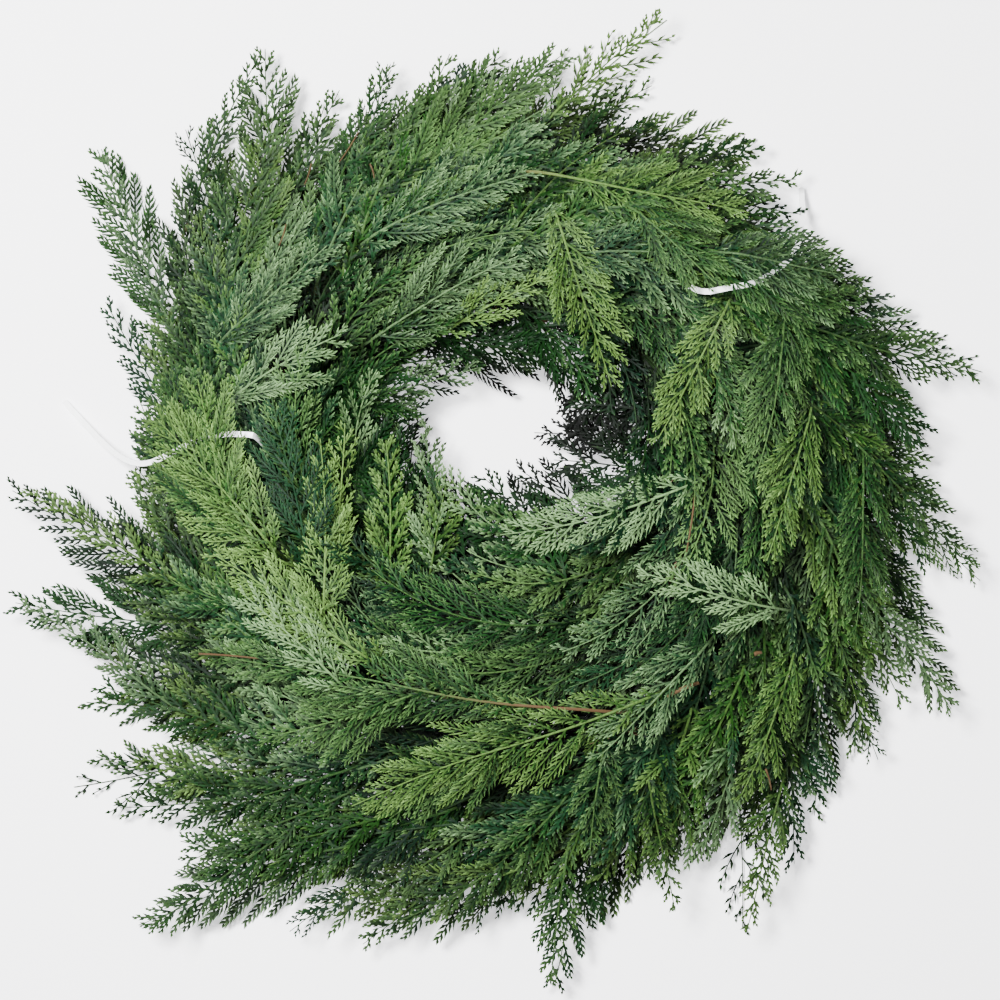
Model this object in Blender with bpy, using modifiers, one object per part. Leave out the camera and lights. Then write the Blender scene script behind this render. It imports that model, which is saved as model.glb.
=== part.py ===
"""Cedar garland, wound flat into a coil of about three and a half turns and held by two cable ties.

Metres, +Z up. The coil lies on the plane z = 0 and is wound clockwise seen from above, from its inner end outwards.
Bunches of flat cedar sprays are wired to a rope, all pointing the way the rope runs, two on top of it and then one
under it. Every top spray rises away from the rope by one rule of height, and every under spray sinks by another, so
each lies over or under its neighbours like the scales of a cone. What would still cross is bent clear or left out.
"""

import math
from itertools import product

import bmesh
import bpy
from mathutils import Vector
from mathutils.bvhtree import BVHTree

# Driving dimensions of the coil, in metres
HOLE_CENTRE = Vector((0.003, 0.051))
HOLE_HALF = Vector((0.074, 0.038))
RIM_CENTRE = Vector((0.016, 0.003))
RIM_HALF = Vector((0.240, 0.258))
ACROSS_LOW = -0.16
ACROSS_HIGH = 2.5
ROPE_START = 0.20
ROPE_END = 0.69
START_ANGLE = math.radians(55)
BUNCHES = 51
# A share of a turn that brings no bunch right above the ones of the turns inside it
BUNCH_STEP = 3 / 43
TURNS = BUNCHES * BUNCH_STEP

# Rope and binding wire
ROPE_RADIUS = 0.003
WIRE_RADIUS = 0.0005
GAP = 0.0004
WRAP_HALF = 0.0048
WRAP_TOP = 0.0094
WRAP_LENGTH = 0.009

# Heights of the stack: floor, rope and the top of the mound
OUTER_HEIGHT = 0.006
ROPE_HEIGHT = 0.046
TOP_HEIGHT = 0.118
OUTER_TOP = 0.034
MOUND_MIDDLE = 0.45
MOUND_SPREAD = 0.40
SLAB_HALF = 0.0125
SLAB_HALF_OUTSIDE = 0.0022
SLAB_STARTS = 0.15
SLAB_ENDS = 0.75
SLAB_FADE = 0.35
RISE_ANGLE = 1.35
SINK_ANGLE_INSIDE = 1.75
SINK_ANGLE = 0.95
FLOOR = 0.0007

# Sprays
UNDER_EVERY = 3
STEM_THICK = 0.0040
BLADE_THICK = 0.0012
STEM_WIDTH = 0.0040
RIB_WIDTH = 0.0026
BUTT_LENGTH = 0.012
FLARE_RUN = 0.050
BARE_LENGTH = 0.030
PINNA_ANGLE = math.radians(40)
PINNA_SPACING = 0.0168
PINNA_SHARE = 0.22
PINNA_DROOP = 1.7
ROOT_FLAT = 0.010
ROOT_SETTLE = 0.018
STEM_STEP = 0.008
STEM_ASIDE = 0.0012
LAYER_STEP = 0.0013
INNER_RING = 1.0
SLOPE_SPARE = 1.2
LENGTH_SHARES = [1.0, 0.92, 0.84]
SWINGS = [math.radians(angle) for angle in (0, 3, -3, 6, -6)]
TIP_LIFTS = [0.0] + [sign * 0.002 * step for step in range(1, 9) for sign in (1, -1)]
LIFT_RUN = 0.050
LIFT_AT_ROOT = 0.25

# The far tips of the sprays that stand out past the rim, going clockwise from the top
RIM_TIPS = [
    (0.108, 0.311), (0.141, 0.216), (0.190, 0.206), (0.229, 0.130), (0.283, 0.099), (0.312, 0.083),
    (0.271, 0.038), (0.282, -0.005), (0.309, -0.052), (0.275, -0.075), (0.290, -0.136), (0.243, -0.167),
    (0.189, -0.234), (0.157, -0.277), (0.110, -0.268), (0.062, -0.270), (0.035, -0.313), (-0.017, -0.269),
    (-0.088, -0.285), (-0.135, -0.277), (-0.232, -0.273), (-0.240, -0.215), (-0.276, -0.186),
    (-0.268, -0.131), (-0.311, -0.066), (-0.312, 0.006), (-0.243, 0.045), (-0.253, 0.127), (-0.261, 0.227),
    (-0.202, 0.238), (-0.151, 0.290), (-0.072, 0.280), (-0.020, 0.280), (0.040, 0.284),
]
RIM_TIP_LENGTH = 0.220
RIM_TIP_LEAN = math.radians(14)
RIM_TIP_CURVE = 1.2
OUTER_RING = 1.06
RIM_TIP_RINGS = 1.95
LONGER_TIPS = {13: 0.003, 30: 0.003, 44: 0.003}
MOST_STRAIN = 2.4
MOST_STRAIN_MORE = 8.4

# Cable ties
TIE_WIDTH = 0.0036
TIE_THICK = 0.0013
TIE_HEAD = 0.50
TIE_LEVEL = 0.0110
TIE_CORNER = 0.0035
HEAD_SIZE = Vector((0.0065, 0.0055, 0.0045))
TIES = {
    "cable_tie_right": {
        "angle": math.radians(56),
        "inside": 0.405,
        "outside": 0.665,
        "climb": [(0.106, 0.142, 0.085), (0.120, 0.129, 0.110)],
        "tail": [
            (0.129, 0.128, 0.123), (0.142, 0.131, 0.122), (0.156, 0.133, 0.114), (0.168, 0.140, 0.100),
            (0.180, 0.149, 0.079), (0.188, 0.159, 0.055), (0.193, 0.172, 0.032), (0.195, 0.186, 0.014),
            (0.195, 0.202, 0.004),
        ],
    },
    "cable_tie_left": {
        "angle": math.radians(181.5),
        "inside": 0.365,
        "outside": 0.640,
        "climb": [(-0.146, 0.028, 0.085), (-0.147, 0.036, 0.113)],
        "tail": [
            (-0.152, 0.040, 0.123), (-0.165, 0.041, 0.119), (-0.178, 0.040, 0.108), (-0.192, 0.036, 0.092),
            (-0.208, 0.029, 0.070), (-0.224, 0.022, 0.047), (-0.240, 0.024, 0.026), (-0.258, 0.038, 0.011),
            (-0.282, 0.064, 0.003),
        ],
    },
}

GREENS = {
    "deep_green": (0.045, 0.155, 0.060),
    "blue_green": (0.070, 0.190, 0.125),
    "fresh_green": (0.155, 0.290, 0.070),
}
ROPE_BROWN = (0.42, 0.31, 0.18)
WIRE_GREEN = (0.035, 0.090, 0.045)
NYLON_WHITE = (0.86, 0.87, 0.86)


def clear_scene():
    for thing in list(bpy.data.objects):
        bpy.data.objects.remove(thing)


def material(name, colour, roughness, metallic=0.0):
    made = bpy.data.materials.new(name)
    made.use_nodes = True
    shader = made.node_tree.nodes["Principled BSDF"]
    shader.inputs["Base Color"].default_value = (*colour, 1)
    shader.inputs["Roughness"].default_value = roughness
    shader.inputs["Metallic"].default_value = metallic
    return made


def chance(number, draw):
    """A repeatable number from 0 to 1 for each spray and each thing decided about it."""
    value = math.sin(number * 12.9898 + draw * 78.233 + 3.7) * 43758.5453
    return value - math.floor(value)


def mix(a, b, share):
    return a + (b - a) * share


def smooth(share):
    share = min(1.0, max(0.0, share))
    return share * share * (3 - 2 * share)


# Where a point lies in the coil

def centre_at(across):
    return HOLE_CENTRE.lerp(RIM_CENTRE, across)


def half_at(across):
    return HOLE_HALF.lerp(RIM_HALF, across)


def radius_at(across):
    half = half_at(across)
    return (half.x + half.y) / 2


def across_of(point):
    """0 on the edge of the hole and 1 on the rim: which ellipse between them passes through the point."""
    low, high = ACROSS_LOW, ACROSS_HIGH
    for _ in range(30):
        middle = (low + high) / 2
        away = point - centre_at(middle)
        half = half_at(middle)
        if (away.x / half.x) ** 2 + (away.y / half.y) ** 2 > 1:
            low = middle
        else:
            high = middle
    return low


def angle_of(point):
    across = across_of(point)
    away = point - centre_at(across)
    half = half_at(across)
    return math.atan2(away.y / half.y, away.x / half.x)


def mound(across):
    """The bell that the coil's height follows from the hole to the rim."""
    return math.exp(-(((across - MOUND_MIDDLE) / MOUND_SPREAD) ** 2))


def rope_height(across):
    return mix(OUTER_HEIGHT, ROPE_HEIGHT, mound(across))


def slab_half(across):
    """Half the height of the layer kept for rope, wire, ties and stems, between the top and the under sprays."""
    full = smooth(across / SLAB_STARTS) * (1 - smooth((across - SLAB_ENDS) / SLAB_FADE))
    return mix(SLAB_HALF_OUTSIDE, SLAB_HALF, full)


def top_height(across):
    return mix(OUTER_TOP, TOP_HEIGHT, mound(across))


def rope_corner(number):
    """The rope is a chain of straight stretches, two to each bunch, and each bunch is tied on mid-stretch."""
    turn = (number - 0.5) * BUNCH_STEP / 2
    across = mix(ROPE_START, ROPE_END, turn / TURNS)
    angle = START_ANGLE - 2 * math.pi * turn
    flat = centre_at(across) + half_at(across) * Vector((math.cos(angle), math.sin(angle)))
    return Vector((flat.x, flat.y, rope_height(across)))


def rope_stretch(turn):
    place = turn / BUNCH_STEP * 2 + 0.5
    number = math.floor(place)
    return rope_corner(number), rope_corner(number + 1), place - number


def rope_point(turn):
    start, end, share = rope_stretch(turn)
    return start.lerp(end, share)


def rope_heading(turn):
    start, end, _ = rope_stretch(turn)
    return math.atan2(end.y - start.y, end.x - start.x)


# Height rules of the two families of sprays

def passed_angle(root_angle, point):
    """How far round the coil the point lies past the root, in radians, the way the rope runs."""
    return (root_angle - angle_of(point) + math.pi) % (2 * math.pi) - math.pi


def spray_height(spray, point, along, lateral):
    """Height of a spray's middle sheet at a point so far along it and so far beside its rib."""
    across = across_of(point)
    rope_level = rope_height(across)
    slab = slab_half(across)
    passed = passed_angle(spray["root_angle"], point)
    droop = PINNA_DROOP * lateral * lateral * mix(0.3, 1.0, mound(across))
    settle = math.exp(-((max(0.0, along - ROOT_FLAT) / ROOT_SETTLE) ** 2))
    seat = ROPE_RADIUS + GAP + STEM_THICK / 2
    if spray["over"]:
        rise = max(0.0, passed) / RISE_ANGLE
        base = rope_level + slab
        height = base + (top_height(across) - base) * min(1.15, rise) - droop
        return mix(height, spray["root_height"] + seat, settle)
    sink = min(1.0, max(0.0, passed) / mix(SINK_ANGLE_INSIDE, SINK_ANGLE, across))
    base = rope_level - slab
    height = mix(base, FLOOR, sink) - droop * (1 - sink)
    return max(FLOOR, mix(height, spray["root_height"] - seat, settle))


# One spray: where its rib runs, then its cut blade

def rib_heading(spray, along):
    flare = spray["flare"] * smooth(along / FLARE_RUN)
    return spray["heading"] + flare - spray["curve"] * max(0.0, along)


def rib_line(spray, step=0.002):
    """Points along the rib from the cut end to the tip, as (distance past the tie, point)."""
    start = spray["root"]
    back = Vector((math.cos(spray["heading"]), math.sin(spray["heading"]))) * BUTT_LENGTH
    points = [(-BUTT_LENGTH, start - back), (0.0, start)]
    along = 0.0
    point = start.copy()
    while along < spray["length"]:
        heading = rib_heading(spray, along + step / 2)
        point = point + step * Vector((math.cos(heading), math.sin(heading)))
        along += step
        points.append((along, point))
    return points


def at_distance(line, along):
    for (a, p), (b, q) in zip(line, line[1:]):
        if along <= b:
            return p.lerp(q, (along - a) / (b - a))
    return line[-1][1]


def aim_at(spray, tip):
    """Turns and stretches a spray until its tip is where it should be."""
    spray["curve"] = RIM_TIP_CURVE
    for _ in range(4):
        end = rib_line(spray)[-1][1]
        wanted = tip - spray["root"]
        had = end - spray["root"]
        turn = math.atan2(wanted.y, wanted.x) - math.atan2(had.y, had.x)
        spray["flare"] += (turn + math.pi) % (2 * math.pi) - math.pi
        spray["length"] *= wanted.length / had.length


def strain(spray, tip):
    """How badly a spray suits a tip: too long or short a way to it, or too sharp a lean from the rope."""
    wanted = tip - spray["root"]
    lean = math.atan2(wanted.y, wanted.x) - spray["heading"]
    lean = (lean + math.pi) % (2 * math.pi) - math.pi
    return abs(wanted.length - RIM_TIP_LENGTH) / 0.03 + max(0.0, abs(lean - RIM_TIP_LEAN) - 0.14) / 0.1


def pinna_length(spray, share):
    """Side twigs are longest two fifths of the way along and shorten to the tip."""
    swell = smooth(share / 0.38) if share < 0.38 else 1 - 0.82 * ((share - 0.38) / 0.62) ** 1.4
    return spray["length"] * PINNA_SHARE * spray["fullness"] * max(0.16, swell)


def lay_sheet(spray):
    """The cut blade of one spray as an open sheet: a zigzag rib strip with a pointed side twig on each notch."""
    line = rib_line(spray)
    length = spray["length"]
    twigs = max(8, round((length - BARE_LENGTH) / PINNA_SPACING))
    twigs -= twigs % 2
    stations = [-BUTT_LENGTH, -BUTT_LENGTH * 0.9, ROOT_FLAT, ROOT_FLAT * 1.1]
    stations += [BARE_LENGTH + (length * 0.97 - BARE_LENGTH) * i / (twigs + 1) for i in range(twigs + 2)]
    points, alongs, faces = [], [], []

    def add(flat, along, lateral):
        points.append(Vector((flat.x, flat.y, spray_height(spray, flat, along, lateral))))
        alongs.append(along)
        return len(points) - 1

    for i, along in enumerate(stations):
        heading = rib_heading(spray, along)
        left = Vector((-math.sin(heading), math.cos(heading)))
        share = max(0.0, along / length)
        width = mix(STEM_WIDTH, RIB_WIDTH, smooth(share / 0.3)) * mix(1.0, 0.45, share)
        side = 1 if i % 2 == 0 else -1
        add(at_distance(line, along) + left * (side * width / 2 + spray["aside"]), along, 0.0)
    tip = add(at_distance(line, length), length, 0.0)
    spray["rib_points"] = len(points)
    strip = list(range(len(stations))) + [tip]
    for i in range(len(strip) - 2):
        corners = strip[i:i + 3]
        faces.append(corners if i % 2 == 0 else corners[::-1])
    for i in range(4, 4 + twigs):
        side = 1 if i % 2 == 0 else -1
        along = (stations[i] + stations[i + 2]) / 2
        reach = pinna_length(spray, along / length) * (0.88 + 0.24 * chance(spray["number"], i))
        heading = rib_heading(spray, along) + side * PINNA_ANGLE
        flat = at_distance(line, along) + reach * Vector((math.cos(heading), math.sin(heading)))
        point = add(flat, along + reach * math.cos(PINNA_ANGLE), reach * math.sin(PINNA_ANGLE))
        corners = [strip[i], strip[i + 2], point]
        faces.append(corners if side > 0 else corners[::-1])
    spray["sheet"] = (points, alongs, faces)


def stem_share(along):
    """1 on the thick round stem and 0 on the flat blade."""
    return 1 - smooth((along - 0.004) / 0.05)


def lifted_points(spray, tip_lift):
    points, alongs, _ = spray["sheet"]
    made = []
    for point, along in zip(points, alongs):
        up = spray["lift"] * mix(LIFT_AT_ROOT, 1.0, smooth(along / LIFT_RUN))
        up += tip_lift * smooth((along - BARE_LENGTH) / (spray["length"] - BARE_LENGTH))
        made.append(Vector((point.x, point.y, max(FLOOR, point.z + up))))
    return made


def test_tree(spray, tip_lift):
    """The faces and edge walls of a blade that is thicker by the gap which it keeps from other bunches."""
    _, alongs, faces = spray["sheet"]
    points = lifted_points(spray, tip_lift)
    halves = [SLOPE_SPARE * mix(BLADE_THICK, STEM_THICK, stem_share(a)) / 2 + GAP / 2 for a in alongs]
    corners = [point + Vector((0, 0, half)) for point, half in zip(points, halves)]
    corners += [point - Vector((0, 0, half)) for point, half in zip(points, halves)]
    count = len(points)
    shell = faces + [[k + count for k in face] for face in faces]
    for a, b in ((0, 1), (1, 2), (2, 0)):
        shell += [[face[a], face[b], face[b] + count, face[a] + count] for face in faces]
    return BVHTree.FromPolygons(corners, shell)


def drop_twigs(spray, others):
    """Leaves out the side twigs that would cross another bunch, the rope, the wire or a tie."""
    points, alongs, faces = spray["sheet"]
    tree = test_tree(spray, spray["tip_lift"])
    crossing = {hit % len(faces) for other in others for hit, _ in tree.overlap(other)}
    twigs = {k for k, face in enumerate(faces) if max(face) >= spray["rib_points"]}
    kept = [face for k, face in enumerate(faces) if k not in crossing & twigs]
    used = sorted({k for face in kept for k in face})
    place = {k: number for number, k in enumerate(used)}
    faces = [[place[k] for k in face] for face in kept]
    spray["sheet"] = ([points[k] for k in used], [alongs[k] for k in used], faces)


def part_layers(bunches, fixed):
    """Raises, sinks, swings or shortens each spray by the least that keeps it clear of the other bunches."""
    placed = []
    order = sorted(range(len(bunches)), key=lambda i: bunches[i]["sprays"][0]["root_angle"])
    for i in order:
        mine = []
        for spray in bunches[i]["sprays"]:
            best = None
            full, straight = spray["length"], spray["flare"]
            for share, swing, tip_lift in product(LENGTH_SHARES, SWINGS, TIP_LIFTS):
                spray["length"] = full * share
                spray["flare"] = straight + swing
                if tip_lift == TIP_LIFTS[0]:
                    lay_sheet(spray)
                tree = test_tree(spray, tip_lift)
                hits = sum(len(tree.overlap(other)) for other in placed + fixed)
                if best is None or hits < best[0]:
                    best = (hits, spray["length"], spray["flare"], tip_lift)
                if hits == 0:
                    break
            spray["length"], spray["flare"], spray["tip_lift"] = best[1:]
            lay_sheet(spray)
            if best[0]:
                drop_twigs(spray, placed + fixed)
            mine.append(test_tree(spray, spray["tip_lift"]))
        placed += mine


def lengthen(spray, more):
    """Draws the far tip of a spray out by a little."""
    points, alongs, _ = spray["sheet"]
    heading = rib_heading(spray, spray["length"])
    points[alongs.index(max(alongs))] += more * Vector((math.cos(heading), math.sin(heading), 0))


def spray_solid(name, spray):
    _, alongs, faces = spray["sheet"]
    mesh = bpy.data.meshes.new(name)
    mesh.from_pydata(lifted_points(spray, spray["tip_lift"]), [], faces)
    blade = bpy.data.objects.new(name, mesh)
    bpy.context.scene.collection.objects.link(blade)
    group = blade.vertex_groups.new(name="stem")
    for index, along in enumerate(alongs):
        group.add([index], stem_share(along), "REPLACE")
    solid = blade.modifiers.new("thickness", "SOLIDIFY")
    solid.thickness = STEM_THICK
    solid.offset = 0
    solid.vertex_group = "stem"
    solid.thickness_vertex_group = BLADE_THICK / STEM_THICK
    return blade


# Where each bunch is wired on, and its sprays

def spray_at(turn, over, number, lean, step):
    """One spray of a bunch. The lean is 1 for the one that points most to the rim and -1 for the hole."""
    start = turn - min(step, 1) * STEM_STEP
    across = mix(ROPE_START, ROPE_END, start / TURNS)
    place = rope_point(start)
    if turn > TURNS - OUTER_RING:
        flare, follow, length = 8.0, 0.62, 0.200
    elif turn < INNER_RING:
        flare, follow, length = -9.0, 1.05, 0.136
    else:
        flare, follow, length = -1.0, 0.85, 0.190
    flare += 9.0 * lean + 7.0 * (chance(number, 1) - 0.5)
    length *= 0.88 + 0.3 * chance(number, 2)
    side = 1 if over else -1
    root = Vector((place.x, place.y))
    return {
        "number": number,
        "root": root,
        "root_angle": angle_of(root),
        "root_height": place.z,
        "heading": rope_heading(start),
        "flare": math.radians(flare),
        "curve": follow / radius_at(across),
        "length": length,
        "fullness": 0.85 + 0.3 * chance(number, 3),
        "over": over,
        "aside": STEM_ASIDE * lean,
        "lift": side * LAYER_STEP * step,
    }


def bunch_turns():
    return [i * BUNCH_STEP for i in range(BUNCHES)]


def bunch_sprays():
    """The sprays of every bunch: one leans to the rim and one to the hole, and a few carry a third to a far tip."""
    bunches = []
    for i, turn in enumerate(bunch_turns()):
        over = i % UNDER_EVERY != UNDER_EVERY - 1
        sprays = [spray_at(turn, over, 3 * i + step, lean, step) for step, lean in enumerate((1, -1))]
        bunches.append({"turn": turn, "over": over, "sprays": sprays})
    outer_ring = [b["sprays"][0] for b in bunches if b["turn"] > TURNS - RIM_TIP_RINGS]
    not_reached = []
    for tip in map(Vector, RIM_TIPS):
        best = min(outer_ring, key=lambda spray: strain(spray, tip))
        if strain(best, tip) < MOST_STRAIN:
            outer_ring.remove(best)
            aim_at(best, tip)
        else:
            not_reached.append(tip)
    last_turn = [i for i, b in enumerate(bunches) if i % UNDER_EVERY == 0 and b["turn"] > TURNS - OUTER_RING]
    for tip in not_reached:
        if not last_turn:
            break
        more = {i: spray_at(bunches[i]["turn"], bunches[i]["over"], 3 * i + 2, 0.2, 2) for i in last_turn}
        best = min(last_turn, key=lambda i: strain(more[i], tip))
        if strain(more[best], tip) > MOST_STRAIN_MORE:
            continue
        last_turn.remove(best)
        aim_at(more[best], tip)
        bunches[best]["sprays"].append(more[best])
    return bunches


def drop_scraps(mesh):
    """Keeps only the largest connected body of a mesh, as triangles."""
    work = bmesh.new()
    work.from_mesh(mesh)
    bmesh.ops.remove_doubles(work, verts=work.verts, dist=5e-5)
    left = set(work.verts)
    bodies = []
    while left:
        body = [left.pop()]
        for vertex in body:
            for edge in vertex.link_edges:
                other = edge.other_vert(vertex)
                if other in left:
                    left.remove(other)
                    body.append(other)
        bodies.append(body)
    bodies.sort(key=len)
    bmesh.ops.delete(work, geom=[vertex for body in bodies[:-1] for vertex in body], context="VERTS")
    bmesh.ops.triangulate(work, faces=work.faces)
    work.to_mesh(mesh)
    work.free()


def joined(name, pieces, skin):
    """The union of overlapping pieces as one object."""
    group = bpy.data.collections.new(name + "_pieces")
    bpy.context.scene.collection.children.link(group)
    base = pieces[0]
    for piece in pieces[1:]:
        for owner in piece.users_collection:
            owner.objects.unlink(piece)
        group.objects.link(piece)
    union = base.modifiers.new("union", "BOOLEAN")
    union.operation = "UNION"
    union.operand_type = "COLLECTION"
    union.collection = group
    union.solver = "MANIFOLD"
    bpy.context.view_layer.update()
    graph = bpy.context.evaluated_depsgraph_get()
    mesh = bpy.data.meshes.new_from_object(base.evaluated_get(graph))
    drop_scraps(mesh)
    for piece in pieces:
        bpy.data.objects.remove(piece)
    bpy.data.collections.remove(group)
    made = bpy.data.objects.new(name, mesh)
    made.data.materials.clear()
    made.data.materials.append(skin)
    return made


# Cable ties

def tie_loop(angle, inside, outside):
    """Round the outer turns of rope in one upright plane, from the head out, under, in and back to it."""
    steps = [mix(inside, outside, share) for share in (0.0, 0.15, 0.32, 0.5, 0.68, 0.85, 1.0)]
    start, end = TIE_HEAD + 0.02, TIE_HEAD - 0.012
    outline = [(start, 1)] + [(step, 1) for step in steps if step > start + 0.02]
    outline += [(step, -1) for step in reversed(steps)]
    outline += [(step, 1) for step in steps if step < end - 0.02] + [(end, 1)]
    points = []
    for across, level in outline:
        flat = centre_at(across) + half_at(across) * Vector((math.cos(angle), math.sin(angle)))
        points.append(Vector((flat.x, flat.y, rope_height(across) + level * TIE_LEVEL)))
    rounded = [points[0]]
    for before, corner, after in zip(points, points[1:], points[2:]):
        if (before - corner).angle(corner - after) < 1.0:
            rounded.append(corner)
            continue
        rounded.append(corner + (before - corner).normalized() * TIE_CORNER)
        rounded.append(corner + (after - corner).normalized() * TIE_CORNER)
    return rounded + [points[-1]]


def strap_mesh(name, points, start_side):
    """A flat band along a route. Each cross section stays level from edge to edge."""
    strap = bmesh.new()
    side = start_side
    rings = []
    for number, point in enumerate(points):
        ahead = points[min(number + 1, len(points) - 1)] - points[max(number - 1, 0)]
        across = Vector((ahead.y, -ahead.x, 0))
        if across.length > 0.35 * ahead.length:
            across.normalize()
            side = across if across.dot(side) > 0 else -across
        up = side.cross(ahead.normalized()).normalized()
        wide, thick = side * TIE_WIDTH / 2, up * TIE_THICK / 2
        corners = [(1, 1), (1, -1), (-1, -1), (-1, 1)]
        rings.append([strap.verts.new(point + wide * i + thick * k) for i, k in corners])
    for ring, following in zip(rings, rings[1:]):
        for i in range(4):
            k = (i + 1) % 4
            strap.faces.new((ring[i], following[i], following[k], ring[k]))
    strap.faces.new(rings[0])
    strap.faces.new(rings[-1][::-1])
    bmesh.ops.recalc_face_normals(strap, faces=strap.faces)
    mesh = bpy.data.meshes.new(name)
    strap.to_mesh(mesh)
    strap.free()
    return mesh


def cable_tie(name, tie, skin, home):
    loop = tie_loop(tie["angle"], tie["inside"], tie["outside"])
    outwards = (loop[1] - loop[0]).normalized()
    side = Vector((outwards.y, -outwards.x, 0)).normalized()
    points = loop + [Vector(place) for place in tie["climb"] + tie["tail"]]
    strap = bpy.data.objects.new(name + "_strap", strap_mesh(name, points, side))
    bpy.context.scene.collection.objects.link(strap)
    bpy.ops.mesh.primitive_cube_add(size=1, location=(loop[0] + loop[-1]) / 2)
    head = bpy.context.object
    head.scale = HEAD_SIZE
    head.rotation_euler.z = math.atan2(outwards.y, outwards.x)
    home.objects.link(joined(name, [strap, head], skin))


def tree_of(thing):
    bpy.context.view_layer.update()
    graph = bpy.context.evaluated_depsgraph_get()
    shown = thing.evaluated_get(graph)
    mesh = shown.to_mesh()
    tree = BVHTree.FromPolygons([v.co.copy() for v in mesh.vertices], [list(p.vertices) for p in mesh.polygons])
    shown.to_mesh_clear()
    return tree


def cedar_bunches(skins, home):
    names = list(GREENS)
    bunches = bunch_sprays()
    part_layers(bunches, [tree_of(thing) for thing in home.objects])
    for number, more in LONGER_TIPS.items():
        lengthen(bunches[number - 1]["sprays"][0], more)
    for i, bunch in enumerate(bunches):
        kind = "top" if bunch["over"] else "under"
        name = f"cedar_{kind}_bunch_{i + 1:02d}"
        blades = [spray_solid(f"{name}_{k}", spray) for k, spray in enumerate(bunch["sprays"])]
        skin = skins[names[i % len(names)]]
        home.objects.link(joined(name, blades, skin))


# Rope and wire

def poly_curve(name, points, closed=False):
    curve = bpy.data.curves.new(name, "CURVE")
    curve.dimensions = "3D"
    spline = curve.splines.new("POLY")
    spline.points.add(len(points) - 1)
    for slot, point in zip(spline.points, points):
        slot.co = (*point, 1)
    spline.use_cyclic_u = closed
    return curve


def garland_rope(skin, home):
    points = [rope_corner(number) for number in range(2 * BUNCHES)]
    curve = poly_curve("garland_rope", points)
    curve.bevel_depth = ROPE_RADIUS
    curve.bevel_resolution = 1
    curve.use_fill_caps = True
    curve.materials.append(skin)
    home.objects.link(bpy.data.objects.new("garland_rope", curve))


def beside_rope(turn, sideways, upwards):
    """A point beside the rope: sideways is towards the rim."""
    heading = rope_heading(turn)
    return rope_point(turn) + Vector((-math.sin(heading) * sideways, math.cos(heading) * sideways, upwards))


def binding_wire(skin, home, helpers):
    """One wire that wraps each bunch's stems to the rope once and runs beside the rope to the next."""
    under = ROPE_RADIUS + GAP + WIRE_RADIUS + 0.0006
    turns = bunch_turns()
    points = []
    for i, turn in enumerate(turns):
        per_metre = 1 / (2 * math.pi * radius_at(mix(ROPE_START, ROPE_END, turn / TURNS)))
        side = 1 if i % UNDER_EVERY != UNDER_EVERY - 1 else -1
        loop = [
            (-WRAP_HALF, 0), (-WRAP_HALF, side * WRAP_TOP), (WRAP_HALF, side * WRAP_TOP), (WRAP_HALF, 0),
            (under / 2, -side * under), (-under / 2, -side * under), (-WRAP_HALF, 0),
        ]
        for k, (sideways, upwards) in enumerate(loop):
            along = (k / (len(loop) - 1) - 0.9) * WRAP_LENGTH * per_metre
            points.append(beside_rope(turn + along, sideways, upwards))
        if i + 1 < len(turns):
            points.append(beside_rope((turn + turns[i + 1]) / 2, -under - 0.0004, 0))
    curve = poly_curve("binding_wire", points)
    corners = [Vector((math.cos(a), math.sin(a), 0)) * WIRE_RADIUS for a in (0.0, -2.0944, -4.1888)]
    section = bpy.data.objects.new("wire_section", poly_curve("wire_section", corners, closed=True))
    section.hide_render = True
    section.display_type = "WIRE"
    helpers.objects.link(section)
    curve.bevel_mode = "OBJECT"
    curve.bevel_object = section
    curve.use_fill_caps = True
    curve.materials.append(skin)
    home.objects.link(bpy.data.objects.new("binding_wire", curve))


def stand_on_origin(home):
    """Moves everything so that the middle of the coil's foot print lies on the origin."""
    bpy.context.view_layer.update()
    graph = bpy.context.evaluated_depsgraph_get()
    places = []
    for thing in home.objects:
        shown = thing.evaluated_get(graph)
        places += [vertex.co.copy() for vertex in shown.to_mesh().vertices]
        shown.to_mesh_clear()
    low = Vector([min(place[k] for place in places) for k in range(3)])
    high = Vector([max(place[k] for place in places) for k in range(3)])
    shift = Vector(((low.x + high.x) / 2, (low.y + high.y) / 2, low.z))
    for thing in home.objects:
        thing.location -= shift


def main():
    clear_scene()
    home = bpy.data.collections.new("cedar_garland")
    helpers = bpy.data.collections.new("shaping_helpers")
    bpy.context.scene.collection.children.link(home)
    bpy.context.scene.collection.children.link(helpers)
    skins = {name: material(name, colour, 0.55) for name, colour in GREENS.items()}
    garland_rope(material("jute_rope", ROPE_BROWN, 0.9), home)
    binding_wire(material("binding_wire", WIRE_GREEN, 0.4, 0.6), home, helpers)
    nylon = material("white_nylon", NYLON_WHITE, 0.35)
    for name, tie in TIES.items():
        cable_tie(name, tie, nylon, home)
    cedar_bunches(skins, home)
    stand_on_origin(home)


main()
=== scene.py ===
import math

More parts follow.
